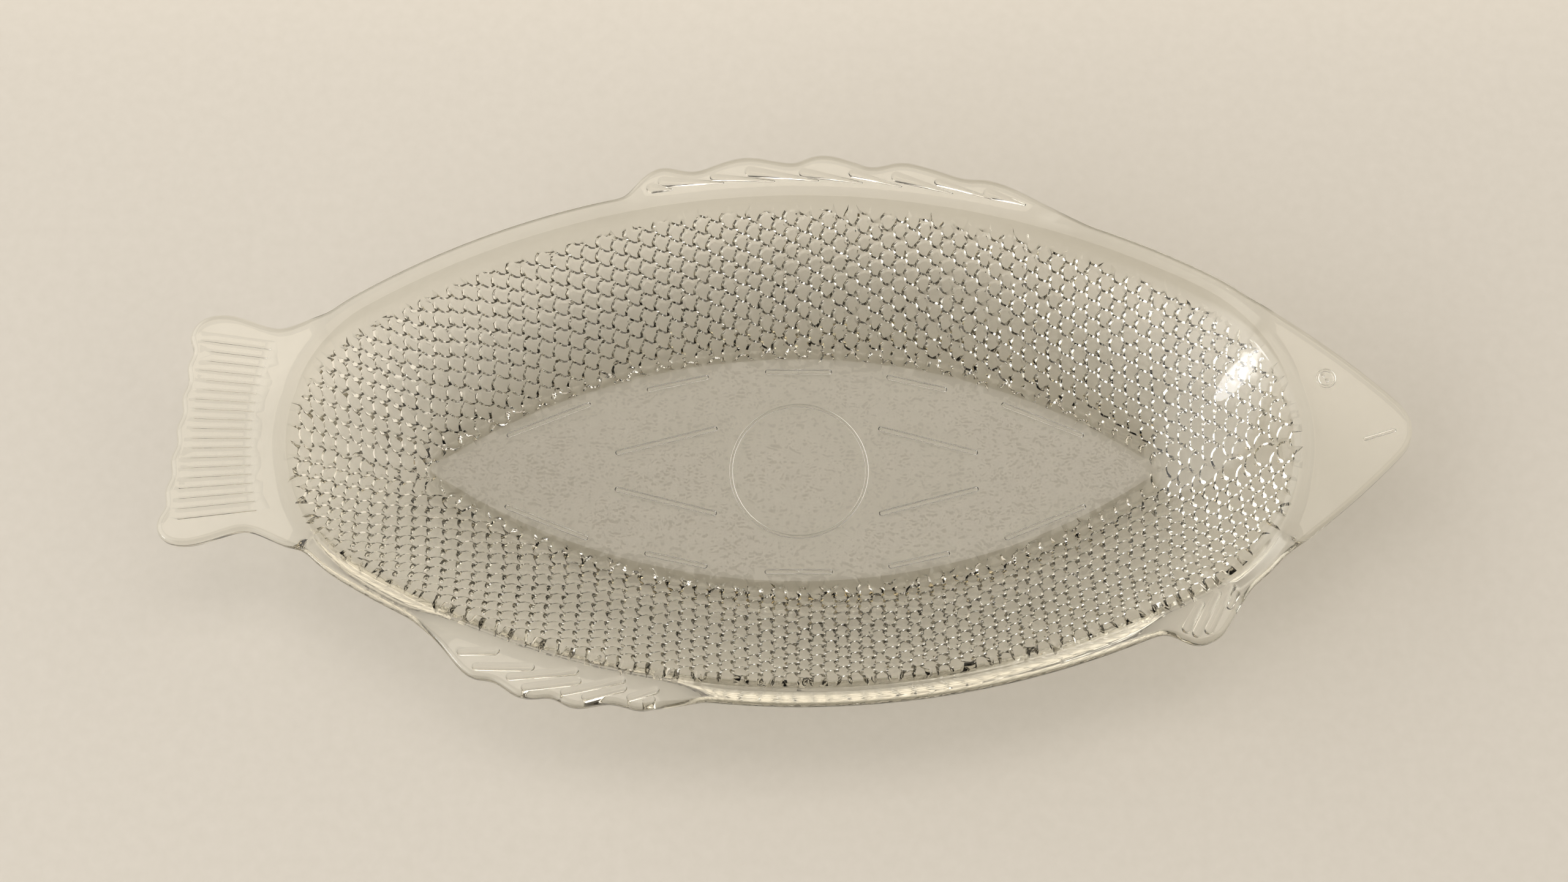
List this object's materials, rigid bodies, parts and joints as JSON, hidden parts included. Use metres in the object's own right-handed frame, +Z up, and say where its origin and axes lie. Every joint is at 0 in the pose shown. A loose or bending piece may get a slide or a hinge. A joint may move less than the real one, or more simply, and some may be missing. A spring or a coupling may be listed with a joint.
{
  "type": "fish shaped glass serving dish",
  "caption": "Fish shaped dish of clear pressed glass with a scaled curved wall, a flat rim, a plain head, a scalloped tail and fins; holds and serves food.",
  "frame": {"origin": "on the table, under the middle of the fish's outline", "axes": "+Z up, +X towards the head, +Y towards the back fin"},
  "size_m": [0.3998, 0.1851, 0.045],
  "materials": {
    "clear_glass": "clear pressed soda-lime glass, fire polished"
  },
  "bodies": {
    "root": {"floor_panel": "clear_glass", "scaled_wall": "clear_glass", "rim_flange": "clear_glass", "head_plate": "clear_glass", "eye_ring": "clear_glass", "eye_pupils": "clear_glass", "mouth_line": "clear_glass", "tail_fin": "clear_glass", "tail_rays": "clear_glass", "dorsal_fin": "clear_glass", "dorsal_rays": "clear_glass", "anal_fin": "clear_glass", "anal_rays": "clear_glass", "throat_fin": "clear_glass", "throat_rays": "clear_glass", "foot_ribs": "clear_glass", "base_ring": "clear_glass"}
  },
  "joints": []
}
